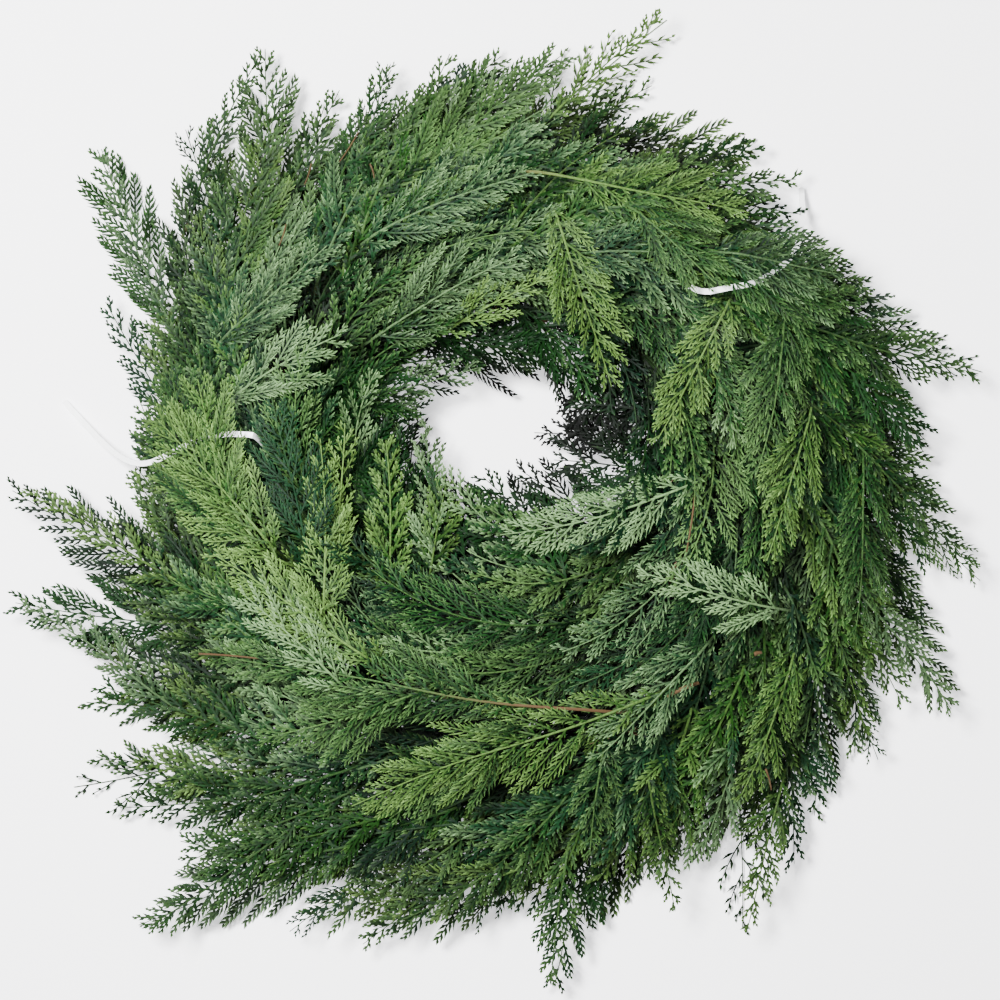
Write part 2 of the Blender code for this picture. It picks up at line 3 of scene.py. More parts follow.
import bmesh
import bpy
import numpy as np
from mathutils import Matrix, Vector


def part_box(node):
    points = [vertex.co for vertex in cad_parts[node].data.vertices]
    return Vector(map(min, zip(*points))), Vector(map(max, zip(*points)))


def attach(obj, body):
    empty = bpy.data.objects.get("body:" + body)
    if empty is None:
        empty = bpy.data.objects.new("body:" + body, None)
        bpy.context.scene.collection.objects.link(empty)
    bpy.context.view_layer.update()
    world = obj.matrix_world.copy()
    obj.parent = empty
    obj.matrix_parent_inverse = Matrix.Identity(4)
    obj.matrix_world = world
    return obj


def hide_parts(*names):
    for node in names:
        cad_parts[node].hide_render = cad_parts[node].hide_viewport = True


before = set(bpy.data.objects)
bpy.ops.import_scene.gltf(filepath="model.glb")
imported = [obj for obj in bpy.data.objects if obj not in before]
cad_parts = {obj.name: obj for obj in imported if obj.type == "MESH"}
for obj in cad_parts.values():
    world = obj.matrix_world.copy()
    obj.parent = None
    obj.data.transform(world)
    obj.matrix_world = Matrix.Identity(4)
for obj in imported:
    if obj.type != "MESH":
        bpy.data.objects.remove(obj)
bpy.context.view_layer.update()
print("frame loaded")

# The coil, in metres. A flat place is a complex number: x is its real part and y its imaginary part.
# "across" is 0 on the edge of the hole and 1 on the rim. "turn" counts the rope's turns from its inner end.

hole = {"centre": 0.003 + 0.051j, "half": 0.074 + 0.038j}
rim = {"centre": 0.016 + 0.003j, "half": 0.240 + 0.258j}
rope = {"start": 0.20, "end": 0.69, "angle": math.radians(55)}
bunchCount = 51
bunchStep = 3 / 43
turns = bunchCount * bunchStep
outerRingTurns = 1.06  # the last turns lie outside the others
insideTurns = 1.2
heights = {
    "outer": 0.006, "rope": 0.046, "top": 0.118, "outerTop": 0.034, "floor": 0.0012,
    "moundAt": 0.45, "moundWidth": 0.40, "crestRoom": 0.0132, "lowest": 0.0007,
}
slab = {"thin": 0.0022, "thick": 0.0125}

# The far tips that the photograph shows at the rim, going clockwise from the top
rimTips = [
    0.108 + 0.311j, 0.141 + 0.216j, 0.190 + 0.206j, 0.229 + 0.130j, 0.283 + 0.099j, 0.312 + 0.083j,
    0.271 + 0.038j, 0.282 - 0.005j, 0.309 - 0.052j, 0.275 - 0.075j, 0.290 - 0.136j, 0.243 - 0.167j,
    0.189 - 0.234j, 0.157 - 0.277j, 0.110 - 0.268j, 0.062 - 0.270j, 0.035 - 0.313j, -0.017 - 0.269j,
    -0.088 - 0.285j, -0.135 - 0.277j, -0.232 - 0.273j, -0.240 - 0.215j, -0.276 - 0.186j,
    -0.268 - 0.131j, -0.311 - 0.066j, -0.312 + 0.006j, -0.243 + 0.045j, -0.253 + 0.127j, -0.261 + 0.227j,
    -0.202 + 0.238j, -0.151 + 0.290j, -0.072 + 0.280j, -0.020 + 0.280j, 0.040 + 0.284j,
]

# The fronds that the photograph shows best: green, begin and tip in millimetres, visible bare stem, growth
# from 0 (old and dark) to 1, lift over the coil's top, width, and bend in degrees
fronds = [
    ("deep_green", 64 - 131j, -182 - 96j, 70, 0.25, 8, 1.0, 4),
    ("fresh_green", 90 - 122j, -95 - 189j, 10, 0.35, 9, 1.1, -6),
    ("fresh_green", -140 - 32j, -220 + 15j, 0, 0.55, 9, 1.0, 5),
    ("fresh_green", -85 - 93j, -179 - 34j, 0, 0.50, 11, 1.0, 0),
    ("fresh_green", -109 - 64j, -112 + 38j, 0, 0.50, 10, 0.9, 0),
    ("blue_green", -106 - 109j, -161 - 58j, 0, 0.75, 12, 1.3, 0),
    ("blue_green", -122 - 26j, -138 + 64j, 0, -0.1, 7, 1.2, -6),
    ("blue_green", 106 + 6j, 0 - 24j, 0, 0.70, 6, 1.1, 12),
    ("deep_green", 94 + 44j, 22 + 46j, 0, -0.1, -26, 0.9, -6),
    ("blue_green", 166 - 64j, 84 - 46j, 0, 0.70, 10, 0.9, 4),
    ("fresh_green", 29 + 202j, 157 + 182j, 40, 0.45, 9, 1.1, 8),
    ("fresh_green", 38 + 170j, 72 + 72j, 0, 0.45, 8, 1.0, 8),
    ("fresh_green", 138 + 112j, 99 + 38j, 0, 0.50, 10, 1.0, 6),
    ("deep_green", 176 + 109j, 157 + 13j, 0, 0.30, 9, 1.1, 8),
    ("blue_green", -157 + 67j, -97 + 101j, 0, 0.55, 10, 1.2, 4),
    ("fresh_green", -19 + 112j, 34 + 140j, 0, 0.60, 4, 0.8, 4),
    ("fresh_green", -99 - 13j, -99 + 48j, 0, 0.55, 6, 0.8, 0),
    ("fresh_green", -70 - 38j, -74 + 38j, 0, 0.35, -2, 0.9, 0),
    ("deep_green", 64 - 173j, 58 - 224j, 0, 0.30, 4, 0.9, 0),
    ("fresh_green", 96 - 186j, 108 - 259j, 0, 0.20, 2, 0.7, -4),
    ("deep_green", 96 + 68j, 36 + 62j, 0, -0.2, -22, 0.9, 6),
    ("deep_green", -110 - 190j, -202 - 232j, 0, 0.2, -4, 0.9, -6),
    ("deep_green", -100 - 170j, -190 - 205j, 0, 0.1, -4, 1.0, 0),
    ("blue_green", -166 + 109j, -109 + 160j, 0, 0.25, 8, 1.1, 4),
    ("fresh_green", 192 + 45j, 166 - 38j, 0, 0.35, 8, 1.0, 8),
    ("deep_green", 230 + 13j, 224 - 90j, 0, 0.20, 4, 1.0, 6),
    ("blue_green", -64 + 109j, 12 + 150j, 0, 0.35, 7, 1.2, 6),
    ("blue_green", -70 + 165j, 20 + 205j, 0, 0.30, 6, 1.2, 8),
    ("deep_green", -164 - 12j, -226 + 44j, 0, 0.20, 7, 1.1, 0),
    ("blue_green", 160 + 134j, 232 + 128j, 0, 0.25, 6, 1.1, 6),
    ("deep_green", 10 - 150j, -70 - 200j, 0, 0.30, 7, 1.1, -4),
    ("blue_green", 120 - 100j, 60 - 160j, 0, 0.35, 8, 1.2, 4),
    ("fresh_green", 180 - 110j, 150 - 190j, 0, 0.35, 6, 1.0, 6),
    ("deep_green", -60 - 120j, -150 - 150j, 0, 0.35, 9, 1.1, 0),
    ("deep_green", 70 - 20j, 5 + 2j, 0, -0.1, -12, 1.0, 0),
    ("deep_green", 102 + 18j, 34 + 24j, 0, -0.1, -16, 1.5, -4),
    ("blue_green", -46 - 20j, -50 + 50j, 0, 0.55, -10, 0.8, 0),
    ("deep_green", -86 + 30j, -50 + 72j, 0, 0.0, -12, 1.0, 4),
    ("deep_green", 30 - 40j, -20 + 6j, 0, 0.05, -8, 1.0, 4),
    ("fresh_green", -40 - 32j, -30 + 14j, 0, 0.25, -8, 0.9, 0),
    ("blue_green", -75 + 62j, -15 + 84j, 0, 0.30, -8, 1.0, 4),
    ("deep_green", -30 + 100j, 45 + 92j, 0, 0.0, -14, 1.1, 10),
    ("deep_green", 62 + 104j, 70 + 42j, 0, -0.1, -16, 1.1, 6),
    ("deep_green", -80 + 0j, -66 + 60j, 0, -0.1, -14, 1.1, 8),
    ("deep_green", 152 + 140j, 214 + 122j, 0, 0.20, 20, 1.5, 4),
    ("deep_green", -186 + 6j, -203 + 78j, 0, 0.15, 20, 1.5, -4),
    ("blue_green", 62 + 150j, 118 + 150j, 0, 0.15, 18, 1.3, 10),
    ("deep_green", 88 + 172j, 134 + 134j, 0, 0.25, 26, 1.4, 4),
    ("blue_green", 150 + 152j, 212 + 146j, 0, 0.25, 28, 1.4, 6),
    ("fresh_green", -150 - 20j, -216 + 52j, 0, 0.40, 28, 1.5, 0),
    ("fresh_green", -172 + 0j, -186 + 76j, 0, 0.30, 26, 1.4, -4),
    ("deep_green", -19 - 38j, -64 + 19j, 0, -0.1, -16, 1.3, 4),
    ("deep_green", -45 - 26j, -74 + 45j, 0, -0.1, -14, 1.3, 4),
    ("deep_green", 13 - 38j, -38 + 12j, 0, -0.1, -18, 1.3, 4),
    ("deep_green", 38 - 32j, -13 + 12j, 0, -0.1, -16, 1.3, 4),
    ("deep_green", 64 - 19j, 12 + 16j, 0, -0.1, -20, 1.3, 4),
    ("deep_green", -70 - 13j, -96 + 51j, 0, 0.0, -10, 1.3, 4),
    ("deep_green", -90 + 19j, -83 + 77j, 0, 0.0, -10, 1.3, 8),
    ("deep_green", -109 + 38j, -66 + 84j, 0, 0.1, -8, 1.3, 8),
    ("deep_green", -62 + 84j, -12 + 92j, 0, -0.1, -16, 1.2, 8),
    ("deep_green", 74 + 92j, 50 + 46j, 0, -0.1, -20, 1.3, 8),
    ("deep_green", 84 + 54j, 40 + 34j, 0, -0.1, -22, 1.3, 4),
    ("deep_green", -112 + 62j, -56 + 76j, 0, 0.0, -10, 1.5, 6),
    ("deep_green", -128 + 40j, -90 + 88j, 0, 0.0, -8, 1.5, 6),
    ("deep_green", -36 + 100j, 28 + 90j, 0, -0.1, -14, 1.5, 8),
    ("deep_green", 26 + 108j, 64 + 74j, 0, -0.1, -14, 1.5, 8),
    ("deep_green", 96 - 2j, 50 + 10j, 0, -0.1, -12, 1.4, 0),
    ("deep_green", 200 + 108j, 306 + 82j, 0, 0.25, 2, 0.9, 6),
    ("deep_green", 165 + 140j, 228 + 131j, 0, 0.20, 12, 1.0, 6),
    ("deep_green", 236 + 26j, 304 - 46j, 0, 0.20, 0, 0.8, 10),
    ("blue_green", 234 - 68j, 288 - 134j, 0, 0.40, 0, 0.8, 6),
    ("fresh_green", 46 + 254j, 104 + 308j, 0, 0.45, 2, 0.7, -6),
    ("fresh_green", -214 - 44j, -306 + 6j, 0, 0.45, 0, 0.7, 4),
    ("blue_green", -226 - 120j, -306 - 66j, 0, 0.40, 0, 0.7, -6),
    ("deep_green", 42 - 242j, 35 - 310j, 0, 0.30, 0, 0.7, 4),
    ("fresh_green", 176 - 202j, 158 - 273j, 0, 0.30, 0, 0.8, 4),
    ("deep_green", -148 - 220j, -228 - 272j, 0, 0.20, 0, 0.9, -4),
    ("blue_green", -210 + 118j, -256 + 224j, 0, 0.30, 0, 0.6, 6),
    ("deep_green", -182 + 222j, -154 + 287j, 0, 0.20, 0, 0.6, 4),
]

# Where the dense mass ends in the photograph, in millimetres, going clockwise from the right
massEdge = [
    268 - 4j, 264 - 40j, 256 - 82j, 246 - 122j, 222 - 160j, 194 - 194j, 156 - 214j, 122 - 224j,
    88 - 236j, 48 - 248j, 4 - 256j, -38 - 258j, -80 - 268j, -122 - 262j, -158 - 236j, -196 - 208j,
    -232 - 188j, -250 - 158j, -254 - 118j, -256 - 82j, -246 - 46j, -240 - 12j, -230 + 26j, -226 + 66j,
    -224 + 104j, -218 + 136j, -202 + 166j, -194 + 200j, -172 + 238j, -138 + 256j, -100 + 254j, -64 + 262j,
    -30 + 272j, 2 + 274j, 34 + 272j, 66 + 256j, 96 + 236j, 124 + 212j, 152 + 196j, 176 + 170j,
    192 + 140j, 214 + 118j, 238 + 92j, 254 + 60j, 264 + 28j,
]

# Bare twigs: green, ends in millimetres, thickness in millimetres and height over the coil's top
twigs = [
    ("deep_green", 121 + 6j, 115 - 32j, 1.5, 3),
    ("blue_green", 103 - 121j, 123 - 113j, 3.2, 7),
    ("deep_green", 158 - 96j, 163 - 95j, 3.0, 4),
    ("fresh_green", -90 + 234j, -102 + 214j, 1.1, -1),
    ("deep_green", -120 + 214j, -124 + 200j, 1.0, -2),
    ("fresh_green", -135 + 174j, -139 + 160j, 1.1, 0),
    ("blue_green", -82 + 212j, -79 + 202j, 1.1, 0),
    ("deep_green", -190 - 97j, -148 - 99j, 1.4, 10),
    ("fresh_green", 168 - 170j, 172 - 184j, 1.4, 3),
]


def chance(number, draw):
    value = math.sin(number * 12.9898 + draw * 78.233 + 3.7) * 43758.5453
    return value - math.floor(value)


def mix(a, b, share):
    return a + (b - a) * share


def smooth(share):
    share = np.clip(share, 0.0, 1.0)
    return share * share * (3 - 2 * share)


def centreAt(across):
    return mix(hole["centre"], rim["centre"], across)


def halfAt(across):
    return mix(hole["half"], rim["half"], across)


def radiusAt(across):
    half = halfAt(across)
    return (half.real + half.imag) / 2


acrossSearch = {"low": -0.16, "high": 2.5, "halvings": 18}


# Which ellipse between the hole and the rim passes through the place
def acrossOf(place):
    place = np.asarray(place, complex)
    low, high = np.full(place.shape, acrossSearch["low"]), np.full(place.shape, acrossSearch["high"])
    for _ in range(acrossSearch["halvings"]):
        middle = (low + high) / 2
        away, half = place - centreAt(middle), halfAt(middle)
        beyond = (away.real / half.real) ** 2 + (away.imag / half.imag) ** 2 > 1
        low, high = np.where(beyond, middle, low), np.where(beyond, high, middle)
    return low


def angleOf(place, across):
    away, half = place - centreAt(across), halfAt(across)
    return np.arctan2(away.imag / half.imag, away.real / half.real)


def mound(across):
    return np.exp(-(((across - heights["moundAt"]) / heights["moundWidth"]) ** 2))


def ropeHeight(across):
    return mix(heights["outer"], heights["rope"], mound(across))


def topHeight(across):
    return mix(heights["outerTop"], heights["top"], mound(across))


def slabHalf(across):
    filled = smooth(across / 0.15) * (1 - smooth((across - 0.75) / 0.35))
    return mix(slab["thin"], slab["thick"], filled)


def ropeCorner(number):
    turn = (number - 0.5) * bunchStep / 2
    across = mix(rope["start"], rope["end"], turn / turns)
    angle = rope["angle"] - 2 * math.pi * turn
    half = halfAt(across)
    flat = centreAt(across) + complex(half.real * math.cos(angle), half.imag * math.sin(angle))
    return flat, float(ropeHeight(across))


# The rope's flat place, height and heading. It is a chain of straight stretches, two to each bunch.
def ropeAt(turn):
    place = turn / bunchStep * 2 + 0.5
    number = math.floor(place)
    (start, low), (end, high) = ropeCorner(number), ropeCorner(number + 1)
    share = place - number
    return mix(start, end, share), mix(low, high, share), math.atan2((end - start).imag, (end - start).real)


ropeLine = [ropeCorner(number) for number in range(2 * bunchCount)]
boxLow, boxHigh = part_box("garland_rope")
flatLine = np.array([flat for flat, _ in ropeLine])
flatLow, flatHigh = (complex(end(flatLine.real), end(flatLine.imag)) for end in (min, max))
rawMiddle = (flatLow + flatHigh) / 2
offset = complex((boxLow[0] + boxHigh[0]) / 2, (boxLow[1] + boxHigh[1]) / 2) - rawMiddle


# Each spray's rib, and the heights of the two families of sprays

rib = {
    "stub": 0.012, "samples": 61, "waves": 38, "points": 26, "half": 0.0010, "woodyHalf": 0.0003,
    "tipHalf": 0.0003,
}
aim = {
    "curve": 1.2, "length": 0.220, "lean": math.radians(14), "rounds": 4, "turns": 1.95, "mostStrain": 2.4,
    "mostMoreStrain": 8.4,
}


# Distances past the place where the spray is tied on, and flat places, from the cut end to the tip
def ribLine(spray):
    along = np.linspace(-rib["stub"], spray["length"], rib["samples"])
    heading = ribHeading(spray, (along[1:] + along[:-1]) / 2)
    steps = np.diff(along) * np.exp(1j * heading)
    line = np.concatenate([[0], np.cumsum(steps)])
    atTie = np.interp(0.0, along, line.real) + 1j * np.interp(0.0, along, line.imag)
    return along, line - atTie + spray["root"]


def ribHeading(spray, along):
    wave = spray["wave"] * np.sin(along * rib["waves"] + spray["number"])
    flare = spray["flare"] * smooth(along / 0.05)
    return spray["heading"] + flare - spray["curve"] * np.maximum(0, along) + wave


# Turns and stretches a spray until its tip is at the place
def aimAt(spray, tip):
    spray["curve"] = aim["curve"]
    for _ in range(aim["rounds"]):
        had = ribLine(spray)[1][-1] - spray["root"]
        turn = (tip - spray["root"]) / had
        spray["flare"] += math.atan2(turn.imag, turn.real)
        spray["length"] *= abs(turn)


# How far from its natural length and lean a spray would have to go to reach the tip
def strain(spray, tip):
    wanted = tip - spray["root"]
    lean = math.atan2(wanted.imag, wanted.real) - spray["heading"]
    lean = (lean + math.pi) % (2 * math.pi) - math.pi
    return abs(abs(wanted) - aim["length"]) / 0.03 + max(0.0, abs(lean - aim["lean"]) - 0.14) / 0.1


tieGap = 0.0054  # from the rope's middle to the stem that is tied on it


def sprayHeight(spray, place, along, lateral):
    across = acrossOf(place)
    if "rise" not in spray:  # the fronds that lie on the coil's top
        hidden = 1 - smooth(along / spray["hidden"])
        surface = topHeight(across) + spray["lift"] - 1.5 * lateral ** 2
        surface = surface - spray["droop"] * smooth(along / spray["length"])
        return np.maximum(heights["floor"], mix(surface, spray["rootHeight"], hidden))
    level, half = ropeHeight(across), slabHalf(across)
    passed = (spray["rootAngle"] - angleOf(place, across) + math.pi) % (2 * math.pi) - math.pi
    droop = 1.7 * lateral ** 2 * mix(0.3, 1.0, mound(across))
    settle = np.exp(-((np.maximum(0, along - 0.010) / 0.018) ** 2))
    if spray["over"]:
        base = level + half
        climb = (topHeight(across) - base) * np.clip(passed / 1.35, 0, 1.15) * spray["rise"]
        height = mix(base + climb - droop, spray["rootHeight"] + tieGap, settle)
    else:
        base = level - half
        sink = np.clip(passed / mix(1.75, 0.95, across), 0, 1)
        height = mix(base, heights["floor"], sink) - droop * (1 - sink)
        height = mix(height, spray["rootHeight"] - tieGap, settle)
    lift = spray["lift"] * mix(0.25, 1.0, smooth(along / 0.05))
    lift = lift + spray["tipLift"] * smooth(along / spray["length"])
    return np.maximum(heights["floor"], height + lift)


# For each ring of the coil: lean outwards in degrees, how closely a spray follows the coil's bend, length,
# width of the leaves, and how finely an under spray is made
rings = {
    "outer": {"flare": 8.0, "follow": 0.62, "length": 0.200, "blade": 1.45, "underDetail": 1.0},
    "inner": {"flare": -9.0, "follow": 1.05, "length": 0.136, "blade": 1.3, "underDetail": 0.8},
    "middle": {"flare": -1.0, "follow": 0.85, "length": 0.190, "blade": 1.0, "underDetail": 0.55},
}


def isOuter(turn):
    return turn > turns - outerRingTurns


def sprayAt(turn, over, number, lean, step):
    start = turn - min(step, 1) * 0.008
    across = mix(rope["start"], rope["end"], start / turns)
    root, rootHeight, heading = ropeAt(start)
    ring = rings["outer" if isOuter(turn) else "inner" if turn < 1.0 else "middle"]
    flare = ring["flare"] + (9.0 * lean + 7.0 * (chance(number, 1) - 0.5))
    side = 1 if over else -1
    natural = ring["length"] * (0.88 + 0.3 * chance(number, 2))
    return {
        "number": number, "root": root, "rootAngle": float(angleOf(root, acrossOf(root))),
        "rootHeight": rootHeight, "heading": heading, "flare": math.radians(flare),
        "curve": ring["follow"] / radiusAt(across), "length": natural,
        "fullness": 0.85 + 0.3 * chance(number, 3), "over": over, "lift": side * 0.0013 * step,
        "tipLift": 0.0, "rise": 1.0, "wave": 0.0, "detail": 1.0 if over else ring["underDetail"],
        "blade": ring["blade"], "tint": chance(number, 4), "growth": 0.70 * chance(number, 5) ** 2 - 0.10,
        "woody": 0.4 + 1.2 * chance(number, 11) ** 2,
    }


# The main sprays of each bunch, those that the solids have, with the outer ones aimed at the rim's tips
def layBunches():
    bunches = []
    for i in range(bunchCount):
        turn, over = i * bunchStep, i % 3 != 2
        sprays = [sprayAt(turn, over, 3 * i + step, lean, step) for step, lean in enumerate((1, -1))]
        bunches.append({"turn": turn, "over": over, "sprays": sprays})
    outerRing = [b["sprays"][0] for b in bunches if b["turn"] > turns - aim["turns"]]
    missed = []
    for tip in rimTips:
        best = min(outerRing, key=lambda spray: strain(spray, tip))
        if strain(best, tip) < aim["mostStrain"]:
            outerRing = [spray for spray in outerRing if spray is not best]
            aimAt(best, tip)
        else:
            missed.append(tip)
    lastTurn = [i for i, b in enumerate(bunches) if i % 3 == 0 and isOuter(b["turn"])]
    for tip in missed:
        if not lastTurn:
            break
        more = {i: sprayAt(bunches[i]["turn"], bunches[i]["over"], 3 * i + 2, 0.2, 2) for i in lastTurn}
        best = min(more, key=lambda i: strain(more[i], tip))
        if strain(more[best], tip) > aim["mostMoreStrain"]:
            continue
        lastTurn.remove(best)
        aimAt(more[best], tip)
        bunches[best]["sprays"].append(more[best])
    return bunches


# Shortens a spray until its tip is no further out than the limit
def keepInside(spray, limit):
    while acrossOf(ribLine(spray)[1][-1]) > limit and spray["length"] > 0.08:
        spray["length"] *= 0.94


# The shorter and straighter sprays that stand between the main ones of each bunch
fillers = {"leans": (0.2, -2.4, 2.4, 1.0, -1.0, 3.2, -3.4, 0.0), "hiddenCount": 3, "firstNumber": 1000}


def addFillers(bunches):
    for i, bunch in enumerate(bunches):
        outside = isOuter(bunch["turn"])
        count = len(fillers["leans"]) if bunch["over"] or outside else fillers["hiddenCount"]
        for k in range(count):
            number = fillers["firstNumber"] + 10 * i + k
            lean = fillers["leans"][k] + 1.4 * (chance(number, 6) - 0.5)
            if bunch["turn"] < insideTurns:
                lean = 0.45 * lean + 1.3
            spray = sprayAt(bunch["turn"], bunch["over"], number, lean, 1)
            spray["length"] *= (0.78 if outside else 0.60) + 0.32 * chance(number, 7)
            spray["curve"] *= 0.25 + 0.7 * chance(number, 12)
            spray["tipLift"] = (0.020 * chance(number, 8) - 0.004) * (1 if bunch["over"] else 0.5)
            spray["rise"] = 0.35 + 0.72 * chance(number, 9)
            spray["wave"] = 0.22 * (chance(number, 10) - 0.5)
            spray["detail"] *= 0.85
            keepInside(spray, 1.0 + 0.15 * chance(number, 14))
            bunch["sprays"].append(spray)


# Old dark sprays low in the coil, which shut out the floor between the others
baseSprays = {
    "insideLeans": (-1.1, -0.3, 0.9, 2.4, 0.3, 1.6, 3.2), "outsideLeans": (-2.6, -0.9, 0.4, 1.2),
    "middleLeans": (-2.6, -0.9, 0.9, 2.6), "firstNumber": 3000, "growth": -0.25, "reach": 0.98,
}


def addBase(bunches):
    for i, bunch in enumerate(bunches):
        inside, outside = bunch["turn"] < insideTurns, isOuter(bunch["turn"])
        place = "inside" if inside else "outside" if outside else "middle"
        mounded = float(mound(mix(rope["start"], rope["end"], bunch["turn"] / turns)))
        for k, lean in enumerate(baseSprays[place + "Leans"]):
            number = baseSprays["firstNumber"] + 10 * i + k
            spray = sprayAt(bunch["turn"], False, number, lean + chance(number, 6) - 0.5, 1)
            spray["length"] *= (0.62 if outside else 0.80) + 0.28 * chance(number, 7)
            spray["curve"] *= 0.8 + 0.4 * chance(number, 12)
            spray["lift"] = 0.004 + 0.030 * chance(number, 8) * mounded
            spray["detail"] = 0.8 if inside else 0.62
            spray["blade"] = 1.2 if inside else 1.45
            spray["growth"] = baseSprays["growth"]
            spray["fullness"] *= 1.15
            keepInside(spray, baseSprays["reach"])
            bunch["sprays"].append(spray)


# The fronds that stand out in the photograph. Each goes to the nearest bunch of its own green.
frondForm = {"hidden": 0.045, "rootLift": 0.012, "usualLength": 0.19, "firstNumber": 5000}


def addFronds(bunches):
    hidden, usual = frondForm["hidden"], frondForm["usualLength"]
    for number, (slotName, begin, tip, stem, growth, lift, wide, bend) in enumerate(fronds):
        begin, tip = begin / 1000, tip / 1000
        heading = math.atan2((tip - begin).imag, (tip - begin).real)
        root = begin - hidden * complex(math.cos(heading), math.sin(heading))
        length = abs(tip - begin) + hidden
        overFloor = lift < 0 or acrossOf(tip) > 1.0
        spray = {
            "number": frondForm["firstNumber"] + number, "root": root,
            "rootHeight": float(ropeHeight(acrossOf(root))) + frondForm["rootLift"], "heading": heading,
            "flare": math.radians(bend) / 2, "curve": math.radians(bend) / length, "length": length,
            "fullness": wide * usual / length ** 0.5 / usual ** 0.5, "lift": lift / 1000, "hidden": hidden,
            "droop": 0.0, "wave": 0.06, "detail": 1.05, "blade": 1.40 if overFloor else 1.05,
            "tint": 0.3 + 0.5 * chance(number, 13), "growth": growth, "stem": stem / 1000,
            "woody": 0.3 + stem / 35,
        }
        nearestBunch(bunches, root, slotName)["sprays"].append(spray)


# The bunch of one green whose stems are tied nearest to the place
def nearestBunch(bunches, root, slotName):
    own = [bunch for i, bunch in enumerate(bunches) if list(greens)[i % 3] == slotName]
    return min(own, key=lambda bunch: abs(bunch["sprays"][0]["root"] - root))


# Fronds that fill the coil out to where the photograph's dense mass ends
edgeForm = {
    "reaches": (1.03, 0.93, 0.99), "lean": 44, "rootLift": 0.008, "hidden": 0.030, "firstNumber": 6000,
}


def addEdge(bunches):
    edge = np.array(massEdge) / 1000
    each = len(edgeForm["reaches"])
    for number in range(each * len(edge)):
        k, between = divmod(number, each)
        tip = mix(edge[k], edge[(k + 1) % len(edge)], between / each)
        tip = mix(rim["centre"], tip, edgeForm["reaches"][between] + 0.05 * (chance(number, 21) - 0.5))
        outward = np.angle(tip - rim["centre"])
        lean = math.radians(edgeForm["lean"] + 18 * (chance(number, 22) - 0.5))
        heading = float(outward - math.pi / 2 + lean)
        length = 0.125 + 0.045 * chance(number, 23)
        bend = math.radians(8 + 14 * chance(number, 24))
        root = complex(tip - length * np.exp(1j * (heading + bend / 2)))
        spray = {
            "number": edgeForm["firstNumber"] + number, "root": root,
            "rootHeight": float(ropeHeight(acrossOf(root))) + edgeForm["rootLift"],
            "heading": heading + bend, "flare": 0.0, "curve": bend / length,
            "length": length, "fullness": 1.2, "lift": -0.016 + 0.014 * chance(number, 25),
            "hidden": edgeForm["hidden"], "droop": 0.020 * chance(number, 26), "wave": 0.08, "detail": 0.95,
            "blade": 1.45, "tint": chance(number, 27), "growth": 0.02 + 0.38 * chance(number, 28), "woody": 0.6,
        }
        nearestBunch(bunches, root, list(greens)[number % 3])["sprays"].append(spray)


# A bare twig with five sides, a little bowed and thinner at its end
def growTwig(begin, end, thick, lift):
    n, sides = 5, 5
    s = np.linspace(0, 1, n)
    place = mix(begin, end, s) / 1000
    ahead = (end - begin) / abs(end - begin)
    place = place + 1j * ahead * 0.0005 * np.sin(s * 3.1)
    z = topHeight(acrossOf(place)) + lift / 1000
    around = np.arange(sides) * 2 * math.pi / sides
    half = thick / 2000 * mix(1.0, 0.7, s)[:, None]
    flat = place[:, None] + 1j * ahead * half * np.cos(around)
    points = np.stack([flat.real, flat.imag, z[:, None] + half * np.sin(around)], -1).reshape(-1, 3)
    k = np.arange(n - 1)[:, None] * sides + np.arange(sides)
    right = np.arange(n - 1)[:, None] * sides + (np.arange(sides) + 1) % sides
    quads = np.stack([k, right, right + sides, k + sides], -1).reshape(-1, 4)
    caps = np.array([(0, 2, 1), (0, 3, 2), (0, 4, 3)])
    ends = [caps, caps[:, ::-1] + (n - 1) * sides]
    faces = np.concatenate([quads[:, [0, 1, 2]], quads[:, [0, 2, 3]], *ends])
    return points, faces, np.tile([0.5, 0.5, 1.0, 0.75], (len(points), 1))


# A fine spray: rib, side branches, branchlets and their small lobes. Each corner keeps four values: growth
# from old to fresh, tint, wood, and how much light the place gets.

branch = {
    "first": 0.024, "last": 0.975, "gap": 0.0056, "reach": 0.22, "lean": math.radians(43), "half": 0.00056,
    "points": 6, "widestAt": 0.38,
}
leaflet = {
    "pitch": 0.00226, "first": 0.9, "until": 0.97, "short": 0.0034, "longer": 0.0112, "half": 0.00069,
    "spread": math.radians(34), "shoulder": 0.40,
}
lobe = {"places": ((1, 0.34), (-1, 0.56)), "size": 0.17, "turn": 0.60, "fromSize": 0.0050}
shade = {"from": 0.50, "over": 0.48, "fringe": 0.74, "fringeFrom": 0.80, "fringeOver": 0.25}


